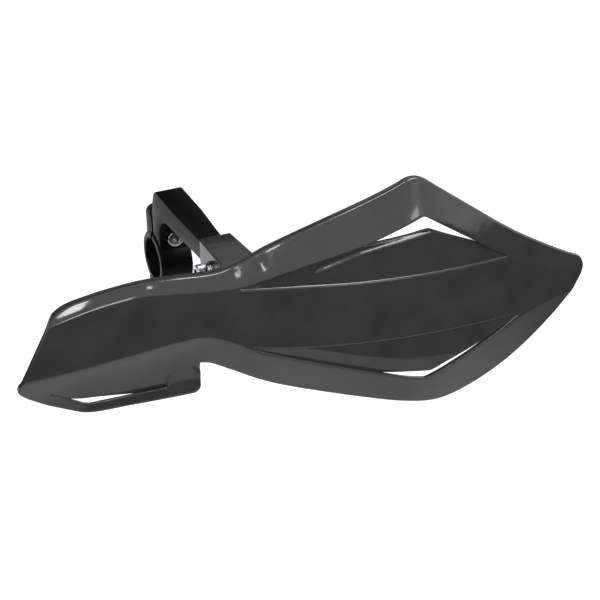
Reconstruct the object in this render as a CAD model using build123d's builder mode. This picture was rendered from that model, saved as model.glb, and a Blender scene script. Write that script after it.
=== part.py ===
"""Motorcycle hand guard: a moulded shield on a nylon arm that clamps to the handlebar.

Frame: the origin is the middle of the clamp's bore, +X runs along the bar to the outer tip,
the shield lies towards -Y, ahead of the bar, and +Z is up. Lengths are in millimetres.
"""

import os
from math import sqrt

from build123d import *

# Handlebar clamp
bar_diameter = 22.0
collar_wall = 3.4
collar_width = 17.2
clamp_width = 15.4
clamp_gap = 1.6
neck_thickness = 9.7
cap_thickness = 9.2
ear_corner = 4.5
ear_margin = 10.9
bolt_wall = 2.6
bolt_seat = 8.0

# Arm
arm_offset = 0.8
arm_top = 40.0
arm_height = 10.6
arm_width = 14.4
arm_tip_width = 11.6
arm_taper_start = 32.0
arm_taper_end = 60.0
arm_root_radius = 11.0
arm_heel_radius = 4.0
neck_drop = 9.0

# Shield: bow, wall and the socket that takes the arm
shield_reach = 104.0
bow_radius = 580.0
bow_middle = 26.5
shield_wall = 3.0
leaf_wall = 2.6
leaf_depth = 1.8
leaf_lean = 0.12
leaf_rise = 40.0
leaf_root = 4.0
tray_rim = 2.2
tray_bond = 0.4
lip_setback = 9.0
crease_radius = 7.0
socket_wall = 2.1
socket_roof = 2.8
socket_fit = 0.2
socket_depth = 36.6
shield_bolt_setback = 22.0
socket_skirt = 8.5
socket_hollow = 28.0

# Fasteners: one size of cap screw and nut, and three washers
shank_diameter = 5.0
head_diameter = 8.5
head_height = 5.0
recess_flats = 4.0
recess_depth = 2.5
nut_flats = 8.0
nut_height = 4.0
clamp_washer = 10.0
clamp_washer_thickness = 1.0
shield_washer = 9.2
shield_washer_thickness = 1.6
spring_washer = 8.8
spring_washer_thickness = 1.1
spring_slit = 1.0
bolt_tail = 0.8
head_chamfer = 0.5
thread_chamfer = 0.6
nut_chamfer = 0.6
hole_clearance = 0.4
thread_clearance = 0.1
pocket_clearance = 0.2

# Shield sections: distance along the bar, height of the upper crease, height of the lower crease
apex_creases = (98.5, 49.0, -47.0)
inner_creases = [
    (-112, 23.6, 2.8), (-90, 29.6, 6.1), (-68, 36.1, 8.4), (-46, 40.0, 12.1),
    (-32, 38.6, 13.6), (-18, 36.4, 12.4), (-4, 34.5, 5.9), (8, 35.1, -1.8),
    (26, 38.4, -11.7), (52, 41.9, -24.2), (76, 45.1, -35.8), apex_creases,
]
outer_creases = [
    apex_creases, (124, 29.6, -42.4), (152, 9.7, -35.4),
    (178, -5.8, -31.4), (204, -16.0, -32.2), (230, -25.0, -36.5),
]
# How far the flanges fall back for each millimetre of height: inner end, apex, outer end
upper_lean = (1.2, 0.58, 0.2)
lower_lean = (0.55, 0.42, 0.36)
flange_height = 28.0
skirt_height = 52.0
section_spacing = 11.0
ridge_steps = (0.9, 0.35, 0, -0.35, -0.9)

# Front view of the shield, as along and height
left_heel = (-105.2, -0.5)
left_shoulder = (-87.8, 36.3)
apex = (96, 66.8)
tip = (218.4, -17.1)
chin_end = (-98.5, -12.2)
block_side = -18.7
heel_radius = 4.0
shoulder_radius = 18.0
apex_radius = 16.0
tip_radius = 9.0
top_edge = [left_shoulder, (-60, 43.3), (-40, 45.0), (-20, 43.7), (-8, 44.0), (8, 46.5), (46, 55.6), apex]
outer_edge = [apex, (127.4, 42.7), (160.7, 17.8), (197.7, -5.9), tip]
lower_edge = [
    tip, (197, -44.0), (181, -60.3), (158, -72.6), (128, -75.5), (104, -67.3),
    (73.5, -54.2), (19.3, -28.4), (-5, -13.3), (block_side, -7.2),
]
chin_edge = [(-33, -22.5), (-42, -24.2), (-50.5, -22.8), (-68.4, -19.0), (-88, -14.0), chin_end]
upper_window = [(-0.5, 33.6), (66, 43.2), (96, 49.8), (152, 7.7)]
lower_window = [(6, 0.2), (101, -48.0), (163, -29.5)]
window_corner = 4.0
upper_slot = [(46, 41.9), (101, 38.0), (145, 13.2), (149, 17.0), (96, 56.0), (46, 48.0)]
lower_slot = [(69, -35.5), (104.5, -46.8), (142, -42.5), (140, -47.0), (101, -56.0), (66, -40.0)]
lip_outer = [chin_end, (-90, -16.4), (-80.5, -21.3), (-72, -23.8), (-58, -23.5), (block_side, -23.4)]
lip_inner = [(-35.5, -17.0), (-58, -18.6), (-73, -19.8), (-83, -13.0), (-88.7, -9.6)]
lip_corner = 4.0
chin_root = -11.0
lip_root = -3.0
lip_depth = 40.0
lip_stations = (-112, -80, -46, -10)
leaf_stations = (-14, 36, 84, 130, 176)

# Places worked out from the sizes above
bar_radius = bar_diameter / 2
collar_radius = bar_radius + collar_wall
bolt_hole = (shank_diameter + hole_clearance) / 2
bolt_height = bar_radius + bolt_wall + bolt_hole
ear_top = bolt_height + ear_margin
neck_front = clamp_gap / 2 + neck_thickness
cap_rear = clamp_gap / 2 + cap_thickness
arm_bottom = arm_top - arm_height
arm_middle = arm_top - arm_height / 2
arm_left = arm_offset - arm_width / 2
arm_right = arm_offset + arm_width / 2
shield_bolt_reach = shield_reach - shield_bolt_setback
socket_half = arm_tip_width / 2 + socket_fit + socket_wall
socket_top = arm_top + socket_fit + socket_roof
socket_rear = shield_reach - socket_depth
arm_tip_right = arm_offset + arm_tip_width / 2


def bow(along):
    """Distance ahead of the bar of the shield's bowed front, an arc in plan."""
    return shield_reach - bow_radius + sqrt(bow_radius**2 - (along - bow_middle) ** 2)


def lean_at(along, leans):
    """Flange lean at a place along the bar, in two straight runs from the apex to the ends."""
    first, apex, last = inner_creases[0][0], outer_creases[0][0], outer_creases[-1][0]
    if along < apex:
        return leans[0] + (leans[1] - leans[0]) * (along - first) / (apex - first)
    return leans[1] + (leans[2] - leans[1]) * (along - apex) / (last - apex)


def soft_lean(lean, past):
    """Fall of a flange at a distance past its crease: none before it, a steady lean after it, with the
    crease's own radius on the ridge between the two."""
    soft = lean * crease_radius / 2
    return lean * (past + sqrt(past**2 + soft**2)) / 2


def shell_reach(along, height, upper, lower):
    """Distance ahead of the bar of the shield's front, between and beyond its two creases."""
    upper_fall = soft_lean(lean_at(along, upper_lean), height - upper)
    lower_fall = soft_lean(lean_at(along, lower_lean), lower - height)
    return bow(along) - upper_fall - lower_fall


def shell_section(along, upper, lower):
    """Section of the shield: upper flange, bowed middle and lower skirt, in one smooth line, and its wall."""
    upper_ridge = [upper + step * crease_radius for step in ridge_steps]
    lower_ridge = [lower - step * crease_radius for step in reversed(ridge_steps)]
    flat_height = upper_ridge[-1] - lower_ridge[0]
    between_ridges = [upper_ridge[-1] - flat_height * share for share in (1 / 3, 2 / 3)]
    heights = [
        upper + flange_height,
        upper + flange_height / 2,
        *upper_ridge,
        *between_ridges,
        *lower_ridge,
        lower - skirt_height / 2,
        lower - skirt_height,
    ]
    front = [(-shell_reach(along, height, upper, lower), height) for height in heights]
    rear = [(y + shield_wall, z) for y, z in front]
    with BuildSketch(Plane.YZ.offset(along)) as section:
        with BuildLine():
            Spline(*front)
            Line(front[-1], rear[-1])
            Spline(*reversed(rear))
            Line(rear[0], front[0])
        make_face()
    return section.sketch


def leaf_section(along, hinge, way, face, depth):
    """Section between an upright face and a line that leans back as it goes up or down from its hinge."""
    reach = bow(along)
    edge = hinge + way * leaf_rise
    root = hinge - way * leaf_root
    with BuildSketch(Plane.YZ.offset(along)) as section:
        with BuildLine():
            Polyline(
                (face - reach, edge),
                (face - reach, root),
                (depth - leaf_lean * leaf_root - reach, root),
                (depth + leaf_lean * leaf_rise - reach, edge),
                close=True,
            )
        make_face()
    return section.sketch


def lip_section(along):
    """Section of the chin's lip: an upright wall set back from the bow."""
    with BuildSketch(Plane.YZ.offset(along)) as section:
        with Locations((lip_setback - bow(along), 0)):
            Rectangle(shield_wall, lip_depth, align=(Align.MIN, Align.MAX))
    return section.sketch


def between(line, along):
    """Height at a place along the bar on the straight line through the first and last points."""
    (x0, z0), (x1, z1) = line[0], line[-1]
    return z0 + (z1 - z0) * (along - x0) / (x1 - x0)


def crease_height(along, rows, column):
    """Height of a crease: a cubic through the rows, with each row's slope taken from its neighbours."""
    spots = [(row[0], row[column]) for row in rows]
    last = len(spots) - 1

    def slope(i):
        (x0, z0), (x1, z1) = spots[max(i - 1, 0)], spots[min(i + 1, last)]
        return (z1 - z0) / (x1 - x0)

    i = max(k for k in range(last) if k == 0 or spots[k][0] <= along)
    (x0, z0), (x1, z1) = spots[i], spots[i + 1]
    span = x1 - x0
    t = (along - x0) / span
    rise = z1 - z0
    bend = slope(i) * span * (1 - t) - slope(i + 1) * span * t + rise * (2 * t - 1)
    return z0 + rise * t + t * (1 - t) * bend


def shell_sections(rows, spacing):
    """Sections at even steps along one half of the shield."""
    first, last = rows[0][0], rows[-1][0]
    steps = round((last - first) / spacing)
    stations = [first + (last - first) * i / steps for i in range(steps + 1)]
    return [shell_section(x, crease_height(x, rows, 1), crease_height(x, rows, 2)) for x in stations]


def at_corner(shapes, corner):
    """Vertices of a sketch that stand on a corner."""
    return [v for v in shapes.vertices() if abs(v.X - corner[0]) + abs(v.Y - corner[1]) < 1e-4]


# Shield outline, seen from the front
with BuildSketch(Plane.XZ) as shield_outline:
    with BuildLine():
        Line(left_heel, left_shoulder)
        Spline(*top_edge)
        Spline(*outer_edge)
        Spline(*lower_edge)
        Polyline(lower_edge[-1], (block_side, chin_root), (chin_edge[0][0], chin_root), chin_edge[0])
        Spline(*chin_edge)
        Line(chin_edge[-1], left_heel)
    make_face()
    for corner, radius in (
        (left_shoulder, shoulder_radius),
        (apex, apex_radius),
        (tip, tip_radius),
        (left_heel, heel_radius),
    ):
        fillet(at_corner(shield_outline, corner), radius)


def window_outline(corners, rim):
    """Front view of a window with its last corner but one rounded, grown by a rim."""
    with BuildSketch(Plane.XZ) as outline:
        with BuildLine():
            Polyline(*corners, close=True)
        make_face()
        fillet(at_corner(outline, corners[-2]), window_corner)
        if rim:
            offset(amount=rim)
    return outline.sketch


def leaf_tray(corners, slot, way):
    """Wall behind a window that makes the recessed leaf and its rim, cut through at the vent slot."""
    rear = leaf_depth + leaf_wall
    with BuildPart() as tray:
        loft(
            sections=[
                leaf_section(x, between(corners, x), way, shield_wall - tray_bond, rear)
                for x in leaf_stations
            ]
        )
        extrude(window_outline(corners, tray_rim), amount=shield_reach, mode=Mode.INTERSECT)
        with BuildSketch(Plane.XZ) as slot_outline:
            with BuildLine():
                Polyline(*slot, close=True)
            make_face()
            fillet(at_corner(slot_outline, slot[1]), window_corner)
        extrude(amount=shield_reach, mode=Mode.SUBTRACT)
    return tray.part


def leaf_hollow(corners, way):
    """Space ahead of a leaf, inside its window."""
    with BuildPart() as hollow:
        loft(
            sections=[
                leaf_section(x, between(corners, x), way, -shield_wall, leaf_depth) for x in leaf_stations
            ]
        )
        extrude(window_outline(corners, 0), amount=shield_reach + shield_wall, mode=Mode.INTERSECT)
    return hollow.part


# Chin's lip: an upright wall cut to its own outline
with BuildPart() as lip:
    loft(sections=[lip_section(x) for x in lip_stations])
    with BuildSketch(Plane.XZ) as lip_outline:
        with BuildLine():
            Spline(*lip_outer)
            Polyline(lip_outer[-1], (block_side, lip_root), (lip_inner[0][0], lip_root), lip_inner[0])
            Polyline(*lip_inner, chin_end)
        make_face()
        fillet(at_corner(lip_outline, lip_outer[-1]), lip_corner)
    extrude(amount=shield_reach, mode=Mode.INTERSECT)

# Socket on the shield's back: a roof and two side walls round the arm's end
with BuildPart() as socket:
    middle = bow(arm_offset) - shield_wall / 2
    crease = crease_height(arm_offset, inner_creases, 1)
    roof_end = middle - lean_at(arm_offset, upper_lean) * (socket_top - crease)
    with BuildSketch(Plane.YZ.offset(arm_offset)):
        with BuildLine():
            Polyline(
                (-socket_rear, socket_top),
                (-roof_end, socket_top),
                (-middle, crease),
                (-middle, arm_bottom - socket_skirt),
                (-socket_rear, arm_bottom + socket_wall),
                close=True,
            )
        make_face()
    extrude(amount=socket_half, both=True)
    with BuildSketch(Plane.YZ.offset(arm_offset)):
        with Locations((-socket_rear, arm_top + socket_fit)):
            Rectangle(socket_hollow, arm_height + socket_skirt + socket_fit, align=(Align.MAX, Align.MAX))
    extrude(amount=socket_half - socket_wall, both=True, mode=Mode.SUBTRACT)
    with Locations(Plane.YZ.offset(arm_offset)):
        with Locations((-shield_bolt_reach, arm_middle)):
            Hole(bolt_hole)

# Shield
with BuildPart() as shield:
    loft(sections=shell_sections(inner_creases, section_spacing))
    loft(sections=shell_sections(outer_creases, section_spacing))
    extrude(shield_outline.sketch, amount=shield_reach, mode=Mode.INTERSECT)
    add(leaf_tray(upper_window, upper_slot, 1))
    add(leaf_tray(lower_window, lower_slot, -1))
    add(leaf_hollow(upper_window, 1), mode=Mode.SUBTRACT)
    add(leaf_hollow(lower_window, -1), mode=Mode.SUBTRACT)
    add(lip.part)
    add(socket.part)

# Arm with the clamp's front half
with BuildPart() as mount_arm:
    with BuildSketch(Plane.YZ) as side:
        with BuildLine():
            Polyline(
                (-shield_bolt_reach, arm_top),
                (-clamp_gap / 2, arm_top),
                (-clamp_gap / 2, -ear_top),
                (-neck_front, -ear_top),
                (-neck_front, arm_bottom),
                (-shield_bolt_reach, arm_bottom),
            )
            ThreePointArc(
                (-shield_bolt_reach, arm_bottom),
                (-shield_bolt_reach - arm_height / 2, arm_middle),
                (-shield_bolt_reach, arm_top),
            )
        make_face()
        fillet(at_corner(side, (-neck_front, arm_bottom)), arm_root_radius)
        fillet(at_corner(side, (-clamp_gap / 2, arm_top)), arm_heel_radius)
    extrude(amount=clamp_width, both=True)
    with BuildSketch(Plane.XY.offset(-ear_top)):
        with BuildLine():
            Polyline(
                (arm_right, 0),
                (arm_right, -arm_taper_start),
                (arm_offset + arm_tip_width / 2, -arm_taper_end),
                (arm_offset + arm_tip_width / 2, -shield_reach),
                (arm_offset - arm_tip_width / 2, -shield_reach),
                (arm_offset - arm_tip_width / 2, -arm_taper_end),
                (arm_left, -arm_taper_start),
                (-clamp_width / 2, -neck_front),
                (-clamp_width / 2, 0),
                close=True,
            )
        make_face()
    extrude(amount=ear_top + arm_top, mode=Mode.INTERSECT)
    with BuildSketch(Plane.XZ) as front:
        with BuildLine():
            Polyline(
                (-clamp_width / 2, -ear_top),
                (clamp_width / 2, -ear_top),
                (clamp_width / 2, arm_bottom),
                (arm_right, arm_top - neck_drop / 2),
                (arm_right, arm_top),
                (arm_left, arm_top),
                (-clamp_width / 2, arm_top - neck_drop),
                close=True,
            )
        make_face()
        fillet(at_corner(front, (-clamp_width / 2, -ear_top)), ear_corner)
        fillet(at_corner(front, (clamp_width / 2, -ear_top)), ear_corner)
    extrude(amount=shield_reach, mode=Mode.INTERSECT)
    with BuildSketch(Plane.YZ):
        Circle(collar_radius)
        with Locations((-clamp_gap / 2, 0)):
            collar_box = (collar_radius * 2, collar_radius * 2)
            Rectangle(*collar_box, align=(Align.MIN, Align.CENTER), mode=Mode.SUBTRACT)
    extrude(amount=collar_width / 2, both=True)
    with Locations(Plane.YZ):
        Hole(bar_radius)
    for height in (bolt_height, -bolt_height):
        with BuildSketch(Plane.XZ.offset(bolt_seat)):
            with Locations((0, height)):
                Circle(clamp_washer / 2 + hole_clearance)
        extrude(amount=collar_radius, mode=Mode.SUBTRACT)
        with Locations(Plane.XZ):
            with Locations((0, height)):
                Hole(bolt_hole)
    with BuildSketch(Plane.YZ.offset(arm_tip_right)):
        with Locations((-shield_bolt_reach, arm_middle)):
            RegularPolygon((nut_flats + pocket_clearance) / 2, 6, major_radius=False)
    extrude(amount=-nut_height, mode=Mode.SUBTRACT)
    with Locations(Plane.YZ.offset(arm_offset)):
        with Locations((-shield_bolt_reach, arm_middle)):
            Hole(bolt_hole)

# Clamp cap: the rear half, with a hexagonal pocket behind each bolt
with BuildPart() as clamp_cap:
    with BuildSketch(Plane.XZ.offset(-clamp_gap / 2)):
        RectangleRounded(clamp_width, ear_top * 2, ear_corner)
    extrude(amount=-cap_thickness)
    with BuildSketch(Plane.YZ):
        Circle(collar_radius)
        with Locations((clamp_gap / 2, 0)):
            Rectangle(*collar_box, align=(Align.MAX, Align.CENTER), mode=Mode.SUBTRACT)
    extrude(amount=collar_width / 2, both=True)
    with Locations(Plane.YZ):
        Hole(bar_radius)
    for height in (bolt_height, -bolt_height):
        with BuildSketch(Plane.XZ.offset(-collar_radius)):
            with Locations((0, height)):
                RegularPolygon((nut_flats + pocket_clearance) / 2, 6, major_radius=False)
        extrude(amount=collar_radius - cap_rear + nut_height, mode=Mode.SUBTRACT)
        with Locations(Plane.XZ):
            with Locations((0, height)):
                Hole(bolt_hole)


def socket_screw(seat, length):
    """Cap screw on its seat plane: the head stands up from the plane and the shank goes down through it."""
    upward = Axis(seat.origin, seat.z_dir)
    with BuildPart() as screw:
        with BuildSketch(seat):
            Circle(head_diameter / 2)
        extrude(amount=head_height)
        chamfer(screw.faces().sort_by(upward)[-1].edges(), head_chamfer)
        with BuildSketch(seat):
            Circle(shank_diameter / 2)
        extrude(amount=-length)
        chamfer(screw.faces().sort_by(upward)[0].edges(), thread_chamfer)
        with BuildSketch(seat.offset(head_height)):
            RegularPolygon(recess_flats / 2, 6, major_radius=False)
        extrude(amount=-recess_depth, mode=Mode.SUBTRACT)
    return screw.part


def washer(seat, outside, thickness, slit=0):
    """Round washer that stands up from its seat plane; a spring washer is slit through on one side."""
    with BuildPart() as ring:
        with BuildSketch(seat):
            Circle(outside / 2)
            Circle(bolt_hole, mode=Mode.SUBTRACT)
            if slit:
                Rectangle(outside, slit, align=(Align.MIN, Align.CENTER), mode=Mode.SUBTRACT)
        extrude(amount=thickness)
    return ring.part


def hexagon_nut(seat):
    """Hexagon nut that stands up from its seat plane, with its outer corners turned down to a cone."""
    with BuildPart() as nut:
        with BuildSketch(seat):
            Circle(nut_flats / sqrt(3))
        extrude(amount=nut_height)
        chamfer(nut.faces().sort_by(Axis(seat.origin, seat.z_dir))[-1].edges(), nut_chamfer)
        with BuildSketch(seat):
            RegularPolygon(nut_flats / 2, 6, major_radius=False)
            Circle((shank_diameter + thread_clearance) / 2, mode=Mode.SUBTRACT)
        extrude(amount=nut_height, mode=Mode.INTERSECT)
    return nut.part


pieces = {"shield": shield.part, "mount_arm": mount_arm.part, "clamp_cap": clamp_cap.part}

# Clamp fasteners: the heads stand in the neck's recesses, and the nuts sit in the cap's pockets
clamp_grip = bolt_seat + clamp_washer_thickness + cap_rear
for side_name, height in (("upper", bolt_height), ("lower", -bolt_height)):
    washer_seat = Plane((0, -bolt_seat, height), x_dir=(1, 0, 0), z_dir=(0, -1, 0))
    nut_seat = Plane((0, cap_rear - nut_height, height), x_dir=(1, 0, 0), z_dir=(0, 1, 0))
    pieces[side_name + "_clamp_washer"] = washer(washer_seat, clamp_washer, clamp_washer_thickness)
    pieces[side_name + "_clamp_bolt"] = socket_screw(
        washer_seat.offset(clamp_washer_thickness), clamp_grip + bolt_tail
    )
    pieces[side_name + "_clamp_nut"] = hexagon_nut(nut_seat)

# Shield fasteners: the head is on the inner side, and the nut sits in the arm's pocket
socket_left = arm_offset - socket_half
socket_side = Plane((socket_left, -shield_bolt_reach, arm_middle), x_dir=(0, 1, 0), z_dir=(-1, 0, 0))
pocket_floor = Plane(
    (arm_tip_right - nut_height, -shield_bolt_reach, arm_middle), x_dir=(0, 1, 0), z_dir=(1, 0, 0)
)
spring_seat = socket_side.offset(shield_washer_thickness)
head_seat = spring_seat.offset(spring_washer_thickness)
pieces["shield_washer"] = washer(socket_side, shield_washer, shield_washer_thickness)
pieces["shield_spring_washer"] = washer(spring_seat, spring_washer, spring_washer_thickness, spring_slit)
pieces["shield_bolt"] = socket_screw(head_seat, arm_tip_right + bolt_tail - head_seat.origin.X)
pieces["shield_nut"] = hexagon_nut(pocket_floor)

os.makedirs("parts", exist_ok=True)
for name, piece in pieces.items():
    piece.label = name
    export_step(piece, f"parts/{name}.step")
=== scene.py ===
"""Motorcycle hand guard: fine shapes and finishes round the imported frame.

Lengths are written in millimetres and become metres where a mesh is made. The frame is the part's own:
the origin is the middle of the clamp's bore, +X runs along the bar, the shield lies towards -Y, +Z is up.
A point ahead of the bar is given by its reach, which is minus its y.
"""

import bmesh
import bpy
import numpy as np
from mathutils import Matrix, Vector


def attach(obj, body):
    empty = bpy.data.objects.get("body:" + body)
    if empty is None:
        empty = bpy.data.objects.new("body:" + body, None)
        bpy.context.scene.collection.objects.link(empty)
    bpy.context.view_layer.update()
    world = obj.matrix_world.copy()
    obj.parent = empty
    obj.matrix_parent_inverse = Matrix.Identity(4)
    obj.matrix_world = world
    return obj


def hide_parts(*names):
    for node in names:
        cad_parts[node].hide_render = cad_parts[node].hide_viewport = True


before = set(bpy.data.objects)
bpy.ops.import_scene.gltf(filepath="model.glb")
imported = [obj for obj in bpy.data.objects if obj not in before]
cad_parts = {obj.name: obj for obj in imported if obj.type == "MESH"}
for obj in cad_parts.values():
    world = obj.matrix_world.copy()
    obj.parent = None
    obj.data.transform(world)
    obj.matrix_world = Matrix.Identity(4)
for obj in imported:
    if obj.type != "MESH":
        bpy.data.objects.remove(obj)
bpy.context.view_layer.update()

MM = 0.001
body = "root"

# Shield: bow, wall and leans
shield_reach = 103.93
bow_radius = 580.0
bow_middle = 26.5
shell_wall = 2.9
rim_radius = 0.8
hinge_radius = 1.6
back_radius = 0.5
apex_along = 98.5
upper_leans = [(-112, 1.2), (apex_along, 0.58), (230, 0.2)]
lower_leans = [(-112, 0.55), (apex_along, 0.42), (230, 0.36)]
upper_crease_softs = [(-112, 0.7), (-72, 0.9), (-40, 2.0), (60, 2.0), (apex_along, 6.0), (132, 2.0)]
lower_crease_soft = 1.1
upper_crease_inner = [
    (-112, 24.4), (-90, 30.4), (-79, 33.8), (-68, 36.9), (-57, 39.0), (-46, 40.2), (-32, 38.9), (-18, 37.0),
    (-4, 35.9), (8, 36.2), (26, 38.3), (52, 41.0), (76, 43.8), (apex_along, 47.8),
]
upper_crease_outer = [(apex_along, 47.8), (124, 29.0), (152, 9.8), (178, -5.3), (204, -15.5), (230, -24.5)]
lower_crease_inner = [
    (-112, 1.2), (-90, 4.1), (-68, 7.5), (-46, 10.7), (-32, 12.4), (-18, 12.1),
    (-4, 5.3), (8, -3.0), (26, -11.5), (52, -23.8), (76, -35.3), (apex_along, -46.5),
]
lower_crease_outer = [
    (apex_along, -46.5), (124, -41.9), (152, -34.9), (178, -30.9), (204, -31.7), (230, -36.0),
]
apex_round = 12.0
seam_fade = 40.0
seam_margin = 0.12
upper_seam_floor = 0.6
lower_seam_roof = 0.45

# Sink marks in the upper flange, as along and height
sink_marks = [(10.7, 42.9), (-3.7, 40.4), (-8.1, 35.3)]
sink_depth = 0.32
sink_width = 2.9

# Shield: front view, as along and height
left_heel = (-105.4, -4.1)
left_shoulder = (-86.9, 33.8)
apex = (96.4, 66.2)
tip = (218.03, -17.2)
chin_end = (-99.3, -10.8)
block_side = -18.7
heel_radius = 7.0
shoulder_radius = 11.0
apex_radius = 16.0
tip_radius = 9.0
top_edge = [
    left_shoulder, (-79.8, 37.5), (-69.9, 40.5), (-58.8, 42.8), (-45.4, 44.4), (-30.1, 43.9), (-19.6, 42.9),
    (-10.7, 42.5), (-2.4, 43.3), (7.6, 45.5), (14.2, 47.5), (28.6, 50.9), (44.4, 54.2), (77, 60.9), apex,
]
outer_edge = [apex, (127.4, 42.7), (160.7, 17.8), (197.7, -5.9), tip]
lower_edge = [
    tip, (205.6, -33.2), (197, -46.2), (182.4, -61.3), (168.1, -70.2), (150, -75.2), (136, -76.0),
    (121.6, -74.4), (109.6, -70.3), (97.6, -64.9), (78.9, -56.6), (52.3, -44.5), (19.4, -28.9),
    (-3.7, -14.7), (-13.9, -8.3), (block_side, -6.6),
]

# Windows: the hinge side of the leaf, and the two sides that meet at the corner
window_soft = 0.9
upper_hinge = [(-0.5, 34.1), (27.3, 29.2), (61.6, 22.6), (104.7, 15.8), (150.5, 9.9)]
upper_inner_side = [(-0.5, 34.1), (31, 38.2), (66, 41.9), (96.6, 47.7)]
upper_outer_side = [(96.6, 47.7), (118, 32.7), (150.5, 9.9)]
lower_hinge = [(5.4, -0.2), (27.3, -5.7), (52.2, -11.0), (78.6, -16.0), (107, -20.9), (163, -30.1)]
lower_inner_side = [(5.4, -0.2), (21.4, -8.5), (55, -24.8), (88, -40.9), (103.4, -48.0)]
lower_outer_side = [(103.4, -48.0), (118, -44.2), (139, -38.7), (163, -30.1)]

# Leaves behind the windows
leaf_wall = 2.4
upper_leaf_depth = 1.0
lower_leaf_depth = 0.7
leaf_root = 3.0
leaf_overlap = 2.5
upper_leaf_lean = 0.1
upper_leaf_rows = 60
upper_leaf_inner = [(-0.5, 37.5), (30, 42.5), (71.4, 39.3), (88.5, 38.4), (102, 38.4)]
upper_leaf_outer = [(102, 38.4), (114, 32.0), (142, 17.8), (153, 12.2)]
upper_fold = {
    "line": [(-0.5, 27.8), (40.3, 33.6), (60.8, 36.5), (77.4, 36.9), (98.8, 37.0), (150.5, 37)],
    "start": 35.0, "lean": 1.12, "width": 0.9, "soft": 0.2,
}
lower_leaf_lean = 0.04
lower_leaf_rows = 18
lower_leaf_inner = [(5.4, -3.5), (74, -34.6), (94, -41.2), (106.4, -45.2)]
lower_leaf_outer = [(106.4, -45.2), (116, -42.4), (136, -38.1), (163, -31.2)]
lower_fold = {
    "line": [(5.4, 1.0), (30, -5.4), (41, -9.9), (62.9, -20.3), (86.9, -30.4), (106, -36.4), (122.4, -40.2),
             (163, -38.0)],
    "start": 0.0, "lean": 0.12, "width": 30.0, "soft": 0.7,
}
fold_growth = 6.0

# Chin: the lip in front, the skirt's own edge behind it, and the block where the two end
lip_setbacks = [(-98.5, 13.0), (-75, 9.0)]
lip_round = 6.0
lip_wall = 1.4
slot_start = (-88.4, -9.6)
lip_end = 2.4
apron_shares = [(slot_start[0], 1.0), (slot_start[0] + 12, 0.62), (-36, 0.68)]
block_start = -35.5
block_ramp = 0.8
block_shoulder = (-12.0, -4.0)
block_spread = 12.0
chin_seam = -6.6
lip_corner = 4.0
lip_outer = [
    chin_end, (-96.8, -12.9), (-93.2, -15.6), (-89.4, -17.9), (-85, -19.8), (-81, -21.4), (-76.7, -22.9),
    (-72.5, -23.8), (-67.5, -24.1), (-53, -23.6), (block_side, -23.4),
]
lip_inner = [slot_start, (-81.5, -13.8), (-77, -16.3), (-72.4, -18.4), (-65.7, -18.1), (block_start, -16.7)]
skirt_edge = [
    slot_start, (-78.6, -15.3), (-68.1, -16.5), (-59.5, -17.4), (-50.1, -18.5), (block_start, -19.7),
]

# Grid of the shield
column_spacing = 1.5
ramp_spacing = 0.16
end_length = 7.0
least_step = 0.05
end_steps = np.array([0, least_step, 0.2, 0.45, 0.7, 1.1, 1.5, 2.0, 2.6, 3.4, 4.4, 5.6, end_length])
lip_rows = 6
apron_rows = 12
skirt_rows = 18
band_rows = 18
flange_rows = 14
rim_rows = 6
steepest = 4.0
bend_steps = 5
weld_cell = 0.002
weld_shift = 0.3

# Socket for the arm
arm_offset = 0.8
arm_top = 40.0
arm_bottom = 29.4
arm_middle = 34.7
socket_half = 8.1
socket_flare = 2.3
socket_wall = 2.1
socket_top = 44.2
socket_fit = 0.2
socket_rear = 67.4
socket_skirt = 8.5
socket_corner = 1.3
socket_foot = 0.5
socket_edge = 0.6
socket_length = 36.0
socket_rows = 8
socket_sharp = 50.0

# Arm and clamp cap: lengths, and angles in degrees
moulding_edge = 0.6
edge_segments = 3
edge_angle = 32.0
flat_angle = 1.0
solid_weld = 0.001

# Fasteners
shank_radius = 2.5
head_radius = 4.25
head_height = 5.0
head_round = 0.5
recess_flats = 4.0
recess_depth = 2.5
recess_edge = 0.25
recess_fillet = 0.05
head_chamfer = 0.2
shank_fillet = 0.2
knurl_ribs = 48
knurl_depth = 0.16
knurl_gap = 0.75
thread_pitch = 0.8
thread_depth = 0.35
thread_length = 8.0
thread_chamfer = 0.6
thread_steps = 8
nut_flats = 8.0
nut_height = 4.0
nut_chamfer = 0.6
nut_levels = [4.0, 3.8, 3.6, 3.4, 2.0, 0.3, 0.15, 0.0]
nut_play = 0.05
nut_thread_depth = 0.2
nut_bore_chamfer = 0.3
turn_steps = 96
slit_steps = 90
turned_sharp = 40.0
washer_bore = 2.7
washer_round = 0.2
spring_slit = 1.0
bolt_height = 16.3
bolt_seat = 8.0
clamp_washer = 5.0
clamp_washer_thickness = 1.0
nut_seat = 6.0
shield_bolt_reach = 82.0
shield_washer = 4.6
shield_washer_thickness = 1.6
spring_washer = 4.4
spring_washer_thickness = 1.1
shield_nut_seat = 2.6
bolt_tail = 0.8

# Camera, as a direction from the object
camera_target = (46.5, -64.0, -4.5)
camera_azimuth = -25.0
camera_elevation = 30.8
camera_distance = 700.0
focal_pixels = 1392.0
image_pixels = 600.0
sensor_width = 36.0


def bow(along):
    """Reach of the bowed middle: an arc of one radius in plan."""
    return shield_reach - bow_radius + np.sqrt(bow_radius**2 - (along - bow_middle) ** 2)


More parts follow.
